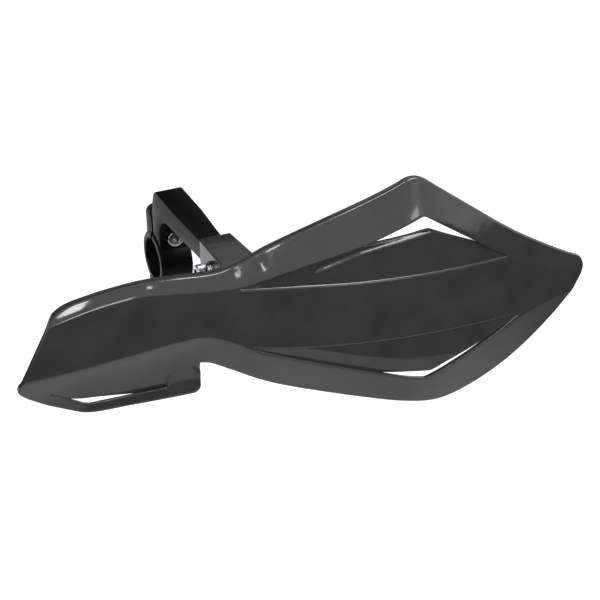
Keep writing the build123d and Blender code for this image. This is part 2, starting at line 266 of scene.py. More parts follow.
def through(along, knots):
    """Cubic through the knots, with each knot's slope taken from its neighbours, and straight beyond both
    ends."""
    places, heights = np.array(knots, float).T
    slopes = np.gradient(heights, places)
    slopes[1:-1] = (heights[2:] - heights[:-2]) / (places[2:] - places[:-2])
    held = np.clip(along, places[0], places[-1])
    i = np.clip(np.searchsorted(places, held, side="right") - 1, 0, len(places) - 2)
    span = places[i + 1] - places[i]
    t = (held - places[i]) / span
    rise = heights[i + 1] - heights[i]
    bend = slopes[i] * span * (1 - t) - slopes[i + 1] * span * t + rise * (2 * t - 1)
    beyond = along - held
    straight = beyond * np.where(beyond < 0, slopes[0], slopes[-1])
    return heights[i] + rise * t + t * (1 - t) * bend + straight


def soft_lower(a, b, soft):
    """The lower of two heights, rounded where they cross: half of their sum less their softened distance."""
    return (a + b - np.sqrt((a - b) ** 2 + soft**2)) / 2


def round_upper(a, b, width):
    """The higher of two heights, raised by a parabola where they are less than a width apart."""
    near = np.maximum(width - np.abs(a - b), 0)
    return np.maximum(a, b) + near**2 / (4 * width)


def past(distance, soft):
    """Distance past a line, nothing before it and rounded between: half of it plus its softened size."""
    return (distance + np.sqrt(distance**2 + soft**2)) / 2


def ramp(value, start, end):
    """Cubic that rises from nought at the start to one at the end, level at both."""
    t = np.clip((value - start) / (end - start), 0, 1)
    return t * t * (3 - 2 * t)


def upper_crease(along):
    """Height of the upper crease: the lower of two curves that cross at the apex, rounded there."""
    inner = through(along, upper_crease_inner)
    outer = through(along, upper_crease_outer)
    return -round_upper(-inner, -outer, apex_round)


def lower_crease(along):
    """Height of the lower crease: the higher of two curves that cross at the apex, rounded there."""
    inner = through(along, lower_crease_inner)
    outer = through(along, lower_crease_outer)
    return round_upper(inner, outer, apex_round)


def shell_front(along, height):
    """Reach of the shield's front: the bow, less a steady lean past each crease, and less a bell-shaped
    hollow at each sink mark."""
    upper_lean = np.interp(along, *np.array(upper_leans).T)
    lower_lean = np.interp(along, *np.array(lower_leans).T)
    upper_soft = upper_lean * np.interp(along, *np.array(upper_crease_softs).T)
    upper = upper_lean * past(height - upper_crease(along), upper_soft)
    lower = lower_lean * past(lower_crease(along) - height, lower_lean * lower_crease_soft)
    marks = np.array(sink_marks)[:, :, None, None]
    away = (along - marks[:, 0]) ** 2 + (height - marks[:, 1]) ** 2
    sink = sink_depth * np.exp(-away / sink_width**2).sum(axis=0)
    return bow(along) - upper - lower - sink


def lip_front(along, height):
    """Reach of the chin's lip: the skirt as far as an upright plane set back from the bow, and then that
    plane."""
    plane = bow(along) - np.interp(along, *np.array(lip_setbacks).T)
    return round_upper(shell_front(along, height), plane, lip_round)


def bar_front(along, height):
    """Reach of the bar that the lip becomes beside the slot: the lip's, less a ramp by which it sinks
    inside the block."""
    sunk = lip_wall / 2 * ramp(along, block_start + block_ramp, block_start + lip_end)
    return lip_front(along, height) - sunk


def skirt_front(along, height):
    """Reach of the shield with its chin: from the skirt it stands out to the lip's plane, wholly at the
    heel and on the block, and in part on the apron between them. Above the block's shoulder its two sides
    spread and fade."""
    spread = block_spread * ramp(height, *block_shoulder)
    apron = np.interp(along, *np.array(apron_shares).T)
    block = ramp(along, block_start - spread, block_start + block_ramp + spread)
    share = apron + (1 - apron) * block
    share = share * ramp(-along, -block_side - spread - least_step, -block_side + spread)
    shell = shell_front(along, height)
    return shell + (lip_front(along, height) - shell) * share


def curve(points, count=110):
    """Smooth curve through points: both coordinates are cubics of the length of the chords."""
    points = np.array(points, float)
    lengths = np.concatenate([[0], np.cumsum(np.hypot(*np.diff(points, axis=0).T))])
    at = np.linspace(0, lengths[-1], count)
    return np.stack([through(at, np.stack([lengths, column], 1)) for column in points.T], 1)


def arc_between(start, corner, end, count):
    """Points of the arc that touches two sides of a corner at the given points, as a weighted quadratic
    whose middle weight is the cosine of half the turn."""
    arriving = corner - start
    leaving = end - corner
    lengths = [np.linalg.norm(side, axis=-1) for side in (arriving, leaving)]
    cosine = (arriving * leaving).sum(-1) / lengths[0] / lengths[1]
    weight = np.sqrt((1 + cosine) / 2)[..., None, None]
    t = np.linspace(0, 1, count)[:, None]
    shares = [(1 - t) ** 2, 2 * weight * t * (1 - t), t**2]
    spots = [point[..., None, :] for point in (start, corner, end)]
    return sum(share * spot for share, spot in zip(shares, spots)) / sum(shares)


def rounded(before, after, radius, count=16):
    """Joins two runs of points at their shared corner by an arc of the given radius."""
    corner = after[0]
    arriving = corner - before[-2]
    arriving = arriving / np.linalg.norm(arriving)
    leaving = after[1] - corner
    leaving = leaving / np.linalg.norm(leaving)
    setback = radius * np.tan(np.arccos(arriving @ leaving) / 2)
    bend = arc_between(corner - arriving * setback, corner, corner + leaving * setback, count)
    before = before[np.linalg.norm(before - corner, axis=1) > setback + least_step]
    after = after[np.linalg.norm(after - corner, axis=1) > setback + least_step]
    return np.concatenate([before, bend, after])


def rounded_loop(corners, radii, count=5):
    """Closed outline whose corners are arcs of the given radii. An arc starts before its corner by its
    radius times the tangent of half the turn."""
    corners = np.asarray(corners, float)
    arriving = corners - np.roll(corners, 1, axis=0)
    arriving = arriving / np.linalg.norm(arriving, axis=1)[:, None]
    leaving = np.roll(arriving, -1, axis=0)
    turn = np.arccos((arriving * leaving).sum(axis=1))
    setback = (radii * np.tan(turn / 2))[:, None]
    arcs = arc_between(corners - arriving * setback, corners, corners + leaving * setback, count)
    return arcs.reshape(-1, 2)


def shield_outline(left_points=40, heel_points=20):
    """Upper and lower edge of the shield's front view, each as points from the heel to the tip. The lower
    one has two runs: the heel with the lip's outer edge, and the edge from the block to the tip.

    The outline starts half way up the left edge and goes round by the top and the tip to the block. Its
    corners are rounded, and it is parted at its rightmost point. The heel is parted at its leftmost
    point."""
    middle = (np.array(left_heel) + np.array(left_shoulder)) / 2
    outline = rounded(np.linspace(middle, left_shoulder, left_points), curve(top_edge), shoulder_radius)
    outline = rounded(outline, curve(outer_edge), apex_radius)
    outline = rounded(outline, curve(lower_edge), tip_radius)
    left_edge = np.linspace(middle, left_heel, left_points)
    heel = rounded(left_edge, np.linspace(left_heel, chin_end, heel_points), heel_radius)
    heel = np.concatenate([heel[:-1], curve(lip_outer)])
    turn = np.argmax(outline[:, 0])
    heel_turn = np.argmin(heel[:, 0])
    upper = np.concatenate([heel[heel_turn:0:-1], outline[: turn + 1]])
    return upper, heel[heel_turn:], outline[:turn - 1:-1]


def window_side(along, inner, outer, way):
    """Height of a window's or leaf's far side: two curves that meet at a rounded corner, above or
    below."""
    return way * soft_lower(way * through(along, inner), way * through(along, outer), window_soft)


def inside(along, hinge):
    """Where a place along the bar lies between a window's two ends."""
    return (along > hinge[0][0]) & (along < hinge[-1][0])


def seam(along, hinge, crease, low, high):
    """Hinge line of a window. Beyond both ends it goes over to its crease within the length of a fade,
    between the two given heights."""
    ends = np.array([hinge[0], hinge[-1]], float)
    offsets = ends[:, 1] - crease(ends[:, 0])
    fades = [ends[0, 0] - seam_fade, ends[0, 0], ends[1, 0], ends[1, 0] + seam_fade]
    line = crease(along) + np.interp(along, fades, [0, *offsets, 0])
    between = (along >= ends[0, 0]) & (along <= ends[1, 0])
    return np.where(between, through(along, hinge), np.clip(line, low, high))


def stations(breaks, spacing):
    """Places along the bar that include the breaks, with even steps between them."""
    runs = [np.linspace(a, b, int(np.ceil((b - a) / spacing)) + 1)[:-1] for a, b in zip(breaks, breaks[1:])]
    return np.concatenate([*runs, breaks[-1:]])


def grid_faces(rows, columns, around=False, closed=False):
    """Corner numbers of a grid's quads, with points running along the columns first. Around joins the
    last column to the first, and closed joins the last row to the first."""
    row = np.arange(rows if closed else rows - 1)[:, None]
    column = np.arange(columns if around else columns - 1)
    below = row * columns
    above = (row + 1) % rows * columns
    right = (column + 1) % columns
    return np.stack([below + column, below + right, above + right, above + column], -1).reshape(-1, 4)


def banded_rows(along, low, high, rows, radius):
    """Heights of a strip's rows in each column. At both edges they lie as the angles of the rim's quarter
    circle do, wider where the edge is steep but within a third of the strip, and they are even
    between."""
    bend = 1 - np.cos(np.linspace(0, np.pi / 2, rim_rows))[:, None]
    steep = [np.clip(np.gradient(edge, along), -steepest, steepest) for edge in (low, high)]
    rims = [np.minimum(radius * np.sqrt(1 + slope**2), (high - low) / 3) for slope in steep]
    lower = low + rims[0] * bend
    upper = high - rims[1] * bend[::-1]
    even = np.linspace(0, 1, rows)[1:-1, None]
    return np.concatenate([lower, lower[-1] + (upper[0] - lower[-1]) * even, upper])


def rim_distance(points, line):
    """Distance of points from a broken line in the front view: each point is dropped on every piece of
    the line, within its length, and the nearest is taken."""
    start = line[:-1]
    run = np.diff(line, axis=0)
    offset = points[:, None] - start
    share = np.clip((offset * run).sum(axis=-1) / (run**2).sum(axis=-1), 0, 1)
    return np.linalg.norm(offset - share[..., None] * run, axis=-1).min(axis=1)


def roll(distance, radius):
    """Fall of a rounded rim at a distance inside its edge: a quarter circle."""
    short = np.clip(radius - distance, 0, radius)
    return radius - np.sqrt(radius**2 - short**2)


def strip(along, low, high, rows, reach_at, rims, wall, hinges=()):
    """Front and back points of the strip between two lines. The front falls away in a quarter circle at
    the free rims, and in a larger one at hinges. The back, one wall behind, comes forward in a smaller
    one."""
    height = banded_rows(along, low, high, rows, hinge_radius if hinges else rim_radius)
    place = np.broadcast_to(along, height.shape)
    flat = np.stack([place, height], -1).reshape(-1, 2)
    distance = np.min([rim_distance(flat, rim) for rim in rims], axis=0)
    reach = reach_at(place, height).ravel()
    fall = roll(distance, rim_radius)
    for hinge in hinges:
        near = rim_distance(flat, hinge)
        fall = np.maximum(fall, roll(near, hinge_radius))
        distance = np.minimum(distance, near)
    front = reach - fall
    back = reach - wall + roll(distance, back_radius)
    return [np.stack([flat[:, 0], -side, flat[:, 1]], -1) for side in (front, back)]


def merged(points, quads):
    """Merges points that fall in one cell of a fine lattice, and gives the numbers of the points that are
    kept, and the triangles that are left of the quads."""
    cells = np.floor(points / weld_cell + weld_shift).astype(int)
    _, kept, number = np.unique(cells, axis=0, return_index=True, return_inverse=True)
    triangles = number.ravel()[np.concatenate([quads[:, [0, 1, 2]], quads[:, [0, 2, 3]]])]
    return kept, triangles[(triangles != np.roll(triangles, 1, axis=1)).all(axis=1)]


def walled(front, back, quads):
    """Closed wall between a front and a back that share their quads: the back is the front's faces turned
    round, and two triangles join front and back at every edge that only one front triangle has."""
    kept, triangles = merged(front, quads)
    used, triangles = np.unique(triangles, return_inverse=True)
    triangles = triangles.reshape(-1, 3)
    kept = kept[used]
    count = len(kept)
    a = triangles.ravel()
    b = np.roll(triangles, -1, axis=1).ravel()
    alone = ~np.isin(b * count + a, a * count + b)
    a, b = a[alone], b[alone]
    rim = np.concatenate([np.stack([b, a, a + count], 1), np.stack([b, a + count, b + count], 1)])
    points = np.concatenate([front[kept], back[kept]])
    return points, np.concatenate([triangles, triangles[:, ::-1] + count, rim])


def new_piece(name, points, faces, material, stands_for):
    """Piece of the object from points in millimetres, shaded smooth."""
    mesh = bpy.data.meshes.new(name)
    mesh.from_pydata((np.asarray(points) * MM).tolist(), [], [list(face) for face in faces])
    mesh.shade_smooth()
    return add_piece(name, mesh, material, stands_for)


def add_piece(name, mesh, material, stands_for):
    """Puts a mesh in the scene as a piece that rides on the body in place of a solid."""
    mesh.materials.clear()
    mesh.materials.append(material)
    piece = bpy.data.objects.new(name, mesh)
    bpy.context.scene.collection.objects.link(piece)
    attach(piece, body)
    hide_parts(stands_for)
    return piece


# Materials

def linear(text):
    """Linear colour of an sRGB hex value: each channel follows a power curve with a straight foot."""
    value = np.array([int(text[i : i + 2], 16) for i in (1, 3, 5)]) / 255
    return (*np.where(value <= 0.04045, value / 12.92, ((value + 0.055) / 1.055) ** 2.4), 1.0)


def node(tree, kind, inputs=None, **settings):
    """Adds a node with its settings; inputs are values, or sockets to link from."""
    made = tree.nodes.new(kind)
    for name, value in settings.items():
        setattr(made, name, value)
    for name, value in (inputs or {}).items():
        if isinstance(value, bpy.types.NodeSocket):
            tree.links.new(value, made.inputs[name])
        else:
            made.inputs[name].default_value = value
    return made


def new_material(name):
    """Empty node material with its shader."""
    material = bpy.data.materials.new(name)
    material.use_nodes = True
    return material, material.node_tree, material.node_tree.nodes["Principled BSDF"]


def noise(tree, size, detail):
    """Noise fixed to the piece, from nought to one, whose clouds are about a size in millimetres
    across."""
    where = node(tree, "ShaderNodeTexCoord").outputs["Object"]
    clouds = node(tree, "ShaderNodeTexNoise", {"Vector": where, "Scale": 1 / (size * MM), "Detail": detail})
    return clouds.outputs["Fac"]


def bump(tree, height, strength, distance, **under):
    """Normal of a surface raised by a height times a distance in millimetres, over an earlier bump if
    given."""
    inputs = {"Height": height, "Strength": strength, "Distance": distance * MM, **under}
    return node(tree, "ShaderNodeBump", inputs).outputs["Normal"]


def mixed_colour(tree, share, first, second):
    """Colour that goes from the first to the second as a share goes from nought to one."""
    mix = node(tree, "ShaderNodeMix", {"Factor": share}, data_type="RGBA")
    mix.inputs["A"].default_value = linear(first)
    mix.inputs["B"].default_value = linear(second)
    return mix.outputs["Result"]


def cloudy_finish(tree, shader, cloud, dark, light, smooth, rough):
    """Lets a noise carry the shader's colour from dark to light, and its roughness from smooth to
    rough."""
    tree.links.new(mixed_colour(tree, cloud, dark, light), shader.inputs["Base Color"])
    dull = node(tree, "ShaderNodeMapRange", {"Value": cloud, "To Min": smooth, "To Max": rough})
    tree.links.new(dull.outputs["Result"], shader.inputs["Roughness"])


def moulded_polypropylene():
    """Polypropylene from a polished mould: dark grey, glossy, with a faint waviness left by shrinkage."""
    material, tree, shader = new_material("moulded_polypropylene")
    wave = noise(tree, size=16, detail=2.0)
    speck = noise(tree, size=0.5, detail=3.0)
    cloudy_finish(tree, shader, wave, "#272728", "#353536", smooth=0.07, rough=0.12)
    wavy = bump(tree, wave, strength=0.3, distance=0.4)
    specked = bump(tree, speck, strength=0.06, distance=0.05, Normal=wavy)
    tree.links.new(specked, shader.inputs["Normal"])
    shader.inputs["IOR"].default_value = 1.49
    return material


def moulded_nylon():
    """Glass-filled nylon from a spark-eroded mould: black and satin, with a fine even grain."""
    material, tree, shader = new_material("moulded_nylon")
    grain = noise(tree, size=0.45, detail=3.0)
    cloud = noise(tree, size=9, detail=2.0)
    cloudy_finish(tree, shader, cloud, "#060607", "#0c0c0d", smooth=0.34, rough=0.44)
    tree.links.new(bump(tree, grain, strength=0.3, distance=0.06), shader.inputs["Normal"])
    shader.inputs["IOR"].default_value = 1.53
    shader.inputs["Specular IOR Level"].default_value = 0.085
    return material


def plated_steel(name, dark, light, smooth, rough):
    """Plated steel: a metal whose tint and polish vary in small clouds left by the bath."""
    material, tree, shader = new_material(name)
    cloudy_finish(tree, shader, noise(tree, size=2.5, detail=4.0), dark, light, smooth, rough)
    shader.inputs["Metallic"].default_value = 1.0
    return material


polypropylene = moulded_polypropylene()
nylon = moulded_nylon()
zinc = plated_steel("zinc_plated_steel", "#9b9da1", "#c4c6ca", smooth=0.12, rough=0.24)
black_zinc = plated_steel("black_zinc_plated_steel", "#2e2f31", "#3d3e40", smooth=0.18, rough=0.28)


# Shield

def shield_columns(first, last):
    """Places along the bar for the shield's columns: close at both ends and on the sides of the chin's
    block."""
    ramps = [block_start, block_start + block_ramp, block_side - block_ramp, block_side]
    corners = [upper_hinge[0][0], lower_hinge[0][0], upper_inner_side[-1][0], lower_inner_side[-1][0],
               upper_hinge[-1][0], lower_hinge[-1][0]]
    main = [stations([first + end_length, slot_start[0], ramps[0]], column_spacing)[:-1],
            stations(ramps[:2], ramp_spacing)[:-1],
            stations(ramps[1:3], column_spacing)[:-1],
            stations(ramps[2:], ramp_spacing)[:-1],
            stations([ramps[3], *corners, last - end_length], column_spacing)]
    return np.concatenate([first + end_steps[:-1], *main, last - end_steps[-2::-1]])


def shield_shell():
    """Shield as five strips of one grid: the chin's lip, the skirt's apron behind it, the skirt, the band
    between the two windows, and the upper flange. Where two strips have no opening between them they
    share a line, so they join. The lip ends inside the block, and the apron at the block's far side."""
    upper_line, heel_line, lower_line = shield_outline()
    along = shield_columns(upper_line[0, 0], upper_line[-1, 0])
    top = np.interp(along, *upper_line.T)
    lip_low = np.interp(along, *heel_line.T)
    corner = np.clip(along - (block_side - lip_corner), 0, lip_corner)
    block_low = lip_low + lip_corner - np.sqrt(lip_corner**2 - corner**2)
    before_slot = along <= slot_start[0]
    lip_high = np.where(before_slot, slot_start[1], np.interp(along, *curve(lip_inner).T))
    lip_high = np.maximum(lip_high, lip_low)
    apron_low = np.where(along < block_start, np.interp(along, *curve(skirt_edge).T), block_low)
    apron_low = np.where(before_slot, lip_high, apron_low)
    chin_high = np.maximum(chin_seam, lip_high)
    skirt_low = np.where(along <= block_side, chin_high, np.interp(along, *lower_line.T))
    apron_low = np.minimum(apron_low, skirt_low)
    height = top - skirt_low
    margin = seam_margin * height
    floor = skirt_low + upper_seam_floor * height
    roof = skirt_low + lower_seam_roof * height
    band_high = seam(along, upper_hinge, upper_crease, floor, top - margin)
    band_low = seam(along, lower_hinge, lower_crease, skirt_low + margin, roof)
    flange_low = window_side(along, upper_inner_side, upper_outer_side, 1)
    flange_low = np.where(inside(along, upper_hinge), np.maximum(flange_low, band_high), band_high)
    skirt_high = window_side(along, lower_inner_side, lower_outer_side, -1)
    skirt_high = np.where(inside(along, lower_hinge), np.minimum(skirt_high, band_low), band_low)

    def edge(heights, start, end):
        """Points of a line of heights between two places along the bar."""
        return np.stack([along, heights], 1)[(along >= start) & (along <= end)]

    first, last = along[0], along[-1]
    window_ends = [(hinge[0][0], hinge[-1][0]) for hinge in (upper_hinge, lower_hinge)]
    outline = [upper_line, edge(lip_low, first, slot_start[0]), edge(skirt_low, block_side, last)]
    block_edge = np.array([edge(apron_low, block_side, block_side)[0], (block_side, chin_seam)])
    strips = [
        (lip_low, lip_high, lip_rows, bar_front, lip_wall, block_start + lip_end,
         [edge(lip_low, first, block_start + lip_end), edge(lip_high, slot_start[0], block_start)]),
        (apron_low, skirt_low, apron_rows, skirt_front, shell_wall, block_side,
         [outline[1], edge(apron_low, slot_start[0], block_side), block_edge]),
        (skirt_low, skirt_high, skirt_rows, skirt_front, shell_wall, last,
         [*outline, edge(skirt_high, *window_ends[1])]),
        (band_low, band_high, band_rows, shell_front, shell_wall, last, outline),
        (flange_low, top, flange_rows, shell_front, shell_wall, last,
         [*outline, edge(flange_low, *window_ends[0])]),
    ]
    hinges = [edge(band_low, *window_ends[1]), edge(band_high, *window_ends[0])]
    fronts = []
    backs = []
    quads = []
    count = 0
    for low, high, rows, reach_at, wall, end, rims in strips:
        bends = hinges if high is band_high else ()
        front, back = strip(along, low, high, rows, reach_at, rims, wall, bends)
        faces = grid_faces(len(front) // len(along), len(along))
        faces = faces[front[faces[:, 1], 0] <= end + least_step / 2]
        fronts.append(front)
        backs.append(back)
        quads.append(faces + count)
        count += len(front)
    points, faces = walled(np.concatenate(fronts), np.concatenate(backs), np.concatenate(quads))
    return new_piece("shield_shell", points, faces, polypropylene, "shield")


def leaf_panel(name, hinge, side, edge, depth, lean, fold, rows, way):
    """Leaf behind a window: it leans back from its hinge, and more over the width of a fold, which grows
    from its start. It ends at its free edge, or a little way behind the window's far side. Its way is 1
    if it rises from its hinge, and -1 if it hangs."""
    along = stations([hinge[0][0], side[0][-1][0], hinge[-1][0]], column_spacing)
    hinge_height = through(along, hinge)
    hidden = way * window_side(along, *side, way) + leaf_overlap
    free = way * np.minimum(hidden, way * window_side(along, *edge, way))
    root = hinge_height - way * leaf_root
    free = way * np.maximum(way * free, way * hinge_height)
    fold_height = np.interp(along, *np.array(fold["line"], float).T)

    def reach_at(place, height):
        """Reach of the leaf's front: the bow, less its depth, its lean and its fold."""
        rise = way * (height - hinge_height)
        beyond = way * (height - fold_height)
        folded = past(beyond, fold["soft"]) - past(beyond - fold["width"], fold["soft"])
        folded = folded * ramp(place, fold["start"], fold["start"] + fold_growth)
        return bow(place) - depth - lean * rise - fold["lean"] * folded

    low, high = (root, free) if way > 0 else (free, root)
    front, back = strip(along, low, high, rows, reach_at, [np.stack([along, free], 1)], leaf_wall)
    points, faces = walled(front, back, grid_faces(len(front) // len(along), len(along)))
    return new_piece(name, points, faces, polypropylene, "shield")


def arm_socket():
    """Socket on the shield's back: a channel profile, open below, carried forward into the shield's wall.
    Its legs grow longer towards the shield, and its rear edge is a quarter circle."""
    turn = np.linspace(0, np.pi / 2, bend_steps)
    even = np.linspace(0, socket_length, socket_rows + 1)[1:]
    depth = np.concatenate([socket_edge * (1 - np.cos(turn)), even + socket_edge])
    inset = np.concatenate([socket_edge * (1 - np.sin(turn)), np.zeros(socket_rows)])
    share = depth / depth[-1]
    radii = np.array([socket_foot, socket_corner, socket_corner, *[socket_foot] * 5])
    loops = []
    for step, shrink in zip(share, inset):
        outer = socket_half - shrink
        inner = socket_half - socket_wall + shrink
        leg = arm_bottom + socket_wall - (socket_wall + socket_skirt) * step + shrink
        roof = arm_top + socket_fit + shrink
        flare = socket_flare * step
        top = socket_top - shrink
        corners = [(-outer, leg), (-outer, top), (outer + flare, top), (outer + flare, leg),
                   (inner + flare, leg), (inner + flare, roof), (-inner, roof), (-inner, leg)]
        loops.append(rounded_loop(corners, radii))
    loops = np.array(loops)
    across = loops[..., 0] + arm_offset
    height = loops[..., 1]
    front = shell_front(across, height) - shell_wall / 2
    reach = socket_rear + (front - socket_rear) * share[:, None]
    rows, columns = height.shape
    points = np.stack([across, -reach, height], -1).reshape(-1, 3)
    sides = grid_faces(rows, columns, around=True)[:, ::-1]
    caps = [list(range(columns)), list(range(rows * columns - 1, (rows - 1) * columns - 1, -1))]
    faces = [*sides.tolist(), *caps]
    piece = new_piece("arm_socket", points, faces, polypropylene, "shield")
    piece.data.set_sharp_from_angle(angle=np.radians(socket_sharp))
    piece.modifiers.new("flat_faces", "WEIGHTED_NORMAL").keep_sharp = True
    return piece


shield_shell()
leaf_panel("upper_leaf", upper_hinge, (upper_inner_side, upper_outer_side),
           (upper_leaf_inner, upper_leaf_outer), upper_leaf_depth, upper_leaf_lean,
           upper_fold, upper_leaf_rows, 1)
leaf_panel("lower_leaf", lower_hinge, (lower_inner_side, lower_outer_side),
           (lower_leaf_inner, lower_leaf_outer), lower_leaf_depth, lower_leaf_lean,
           lower_fold, lower_leaf_rows, -1)
arm_socket()


# Arm and clamp cap

def rounded_copy(name):
    """Copy of a moulded solid with its flat faces made whole and its sharp edges rounded."""
    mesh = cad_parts[name].data.copy()
    work = bmesh.new()
    work.from_mesh(mesh)
    bmesh.ops.remove_doubles(work, verts=work.verts, dist=solid_weld * MM)
    bmesh.ops.dissolve_limit(work, angle_limit=np.radians(flat_angle), verts=work.verts, edges=work.edges)
    work.to_mesh(mesh)
    work.free()
    mesh.shade_smooth()
    piece = add_piece(name + "_moulding", mesh, nylon, name)
    bevel = piece.modifiers.new("edges", "BEVEL")
    bevel.width = moulding_edge * MM
    bevel.segments = edge_segments
    bevel.limit_method = "ANGLE"
    bevel.angle_limit = np.radians(edge_angle)
    bevel.use_clamp_overlap = False
    bevel.harden_normals = True
    return piece


rounded_copy("mount_arm")
rounded_copy("clamp_cap")


# Fasteners

full_turn = np.linspace(0, 2 * np.pi, turn_steps, endpoint=False)


def hexagon(angle, flats):
    """Radius of a hexagon at an angle: half its width over the cosine of the angle from the nearest
    flat."""
    sixth = np.pi / 3
    return flats / 2 / np.cos((angle + sixth / 2) % sixth - sixth / 2)


def turned(name, rows, angles, seat, axis, material, closed=False):
    """Piece turned on an axis. Each row is a radius, which may differ from angle to angle, and a height
    over the seat. Closed joins the last row to the first, and angles that leave a gap get flat ends."""
    radius = np.array([np.broadcast_to(row[0], angles.shape) for row in rows], float)
    height = np.array([np.broadcast_to(row[1], angles.shape) for row in rows], float)
    axis = np.array(axis, float)
    side = np.roll(axis, 1) * axis.sum()
    across = np.cross(axis, side)
    flat = radius[..., None] * (np.cos(angles)[:, None] * side + np.sin(angles)[:, None] * across)
    points = (np.array(seat) + flat + height[..., None] * axis).reshape(-1, 3)
    whole = len(angles) == len(full_turn)
    quads = grid_faces(*radius.shape, around=whole, closed=closed)[:, ::-1]
    kept, faces = merged(points, quads)
    number = np.unique(faces, return_inverse=True)
    points = points[kept][number[0]]
    faces = number[1].reshape(-1, 3).tolist()
    piece = new_piece(name + "_turned", points, faces, material, name)
    piece.data.set_sharp_from_angle(angle=np.radians(turned_sharp))
    if not whole:
        work = bmesh.new()
        work.from_mesh(piece.data)
        bmesh.ops.holes_fill(work, edges=work.edges)
        work.to_mesh(piece.data)
        work.free()
    return piece


def thread_wave(height):
    """Share of a thread's depth round a shank at a height: a zigzag of height over pitch plus angle over
    a turn."""
    return np.abs((height / thread_pitch + full_turn / (2 * np.pi)) % 1 * 2 - 1)


def cap_screw(name, seat, axis, length, material):
    """Cap screw with its head's underside on the seat: hexagon recess, rounded and knurled head, and a
    shank whose last stretch has a thread. The knurl is a cosine wave round the head."""
    recess = hexagon(full_turn, recess_flats)
    floor = head_height - recess_depth
    knurl = head_radius - knurl_depth * (1 + np.cos(knurl_ribs * full_turn)) / 2
    bend = np.linspace(0, np.pi / 2, bend_steps)
    head = [(0, floor), (recess - recess_fillet, floor), (recess, floor + recess_fillet),
            (recess, head_height - recess_edge), (recess + recess_edge, head_height)]
    inset = head_round * (1 - np.sin(bend))
    drop = head_round * (1 - np.cos(bend))
    head += list(zip(head_radius - inset, head_height - drop))
    head += [(knurl, head_height - knurl_gap), (knurl, 2 * head_chamfer),
             (head_radius - head_chamfer, head_chamfer), (head_radius - 2 * head_chamfer, 0),
             (shank_radius + shank_fillet, 0), (shank_radius, -shank_fillet),
             (shank_radius, thread_length - length)]
    drops = np.arange(thread_length - length, thread_chamfer - length, -thread_pitch / thread_steps)
    thread = [(shank_radius - thread_depth * thread_wave(drop), drop) for drop in drops]
    end = [(shank_radius - thread_chamfer, -length), (0, -length)]
    return turned(name, head + thread + end, full_turn, seat, axis, material)


def hexagon_nut(name, seat, axis, material):
    """Hexagon nut that stands on its seat, with its outer corners turned down to a cone at both ends, and
    a bore with a thread like the screw's."""
    def outside(height):
        """Radius of the outside at a height: the hexagon's, or the cone's where that is less."""
        fall = np.maximum(height - nut_height + nut_chamfer, 0) + np.maximum(nut_chamfer / 2 - height, 0)
        return np.minimum(hexagon(full_turn, nut_flats), nut_flats / np.sqrt(3) - fall)

    bore = shank_radius + nut_play
    mouth = bore + nut_bore_chamfer
    rows = [(mouth, nut_height), *[(outside(height), height) for height in nut_levels], (mouth, 0)]
    rises = np.arange(nut_bore_chamfer, nut_height - nut_bore_chamfer, thread_pitch / thread_steps)
    rows += [(bore + nut_thread_depth * thread_wave(rise), rise) for rise in rises]
    return turned(name, rows, full_turn, seat, axis, material, closed=True)


def washer(name, seat, axis, outside, thickness, material, slit=0):
    """Washer on its seat: a rectangle with rounded corners carried round the axis, and short of a whole
    turn by the slit of a spring washer."""
    corners = [(washer_bore, thickness), (outside, thickness), (outside, 0), (washer_bore, 0)]
    profile = rounded_loop(corners, np.full(4, washer_round))
    gap = slit / 2 / outside
    angles = np.linspace(gap, 2 * np.pi - gap, slit_steps) if slit else full_turn
    return turned(name, list(profile), angles, seat, axis, material, closed=True)


ahead = (0, -1, 0)
behind = (0, 1, 0)
clamp_grip = bolt_seat + clamp_washer_thickness + nut_seat + nut_height
for side_name, side_height in (("upper", bolt_height), ("lower", -bolt_height)):
    clamp = side_name + "_clamp_"
    head_seat = (0, -bolt_seat - clamp_washer_thickness, side_height)
    washer(clamp + "washer", (0, -bolt_seat, side_height), ahead, clamp_washer, clamp_washer_thickness,
           black_zinc)
    cap_screw(clamp + "bolt", head_seat, ahead, clamp_grip + bolt_tail, zinc)
    hexagon_nut(clamp + "nut", (0, nut_seat, side_height), behind, black_zinc)

inward = (-1, 0, 0)
outward = (1, 0, 0)
socket_left = arm_offset - socket_half
spring_left = socket_left - shield_washer_thickness
head_left = spring_left - spring_washer_thickness
shield_bolt_length = shield_nut_seat + nut_height + bolt_tail - head_left
washer("shield_washer", (socket_left, -shield_bolt_reach, arm_middle), inward, shield_washer,
       shield_washer_thickness, zinc)
washer("shield_spring_washer", (spring_left, -shield_bolt_reach, arm_middle), inward, spring_washer,
       spring_washer_thickness, zinc, spring_slit)
cap_screw("shield_bolt", (head_left, -shield_bolt_reach, arm_middle), inward, shield_bolt_length,
          zinc)
hexagon_nut("shield_nut", (shield_nut_seat, -shield_bolt_reach, arm_middle), outward, zinc)


# Floor, light and camera

def stage_sheet(name, corners, material):
    """Flat sheet that belongs to the studio, from its corners in metres."""
    mesh = bpy.data.meshes.new(name)
    mesh.from_pydata(corners, [], [list(range(len(corners)))])
    mesh.materials.append(material)
    sheet = bpy.data.objects.new(name, mesh)
    bpy.context.scene.collection.objects.link(sheet)
    return sheet


def level(corners, height):
    """Corners of a sheet that lies level."""
    return [(x, y, height) for x, y in corners]


def rectangle(left, right, front, rear, height):
    """Corners of a level rectangle."""
    return level([(left, front), (right, front), (right, rear), (left, rear)], height)


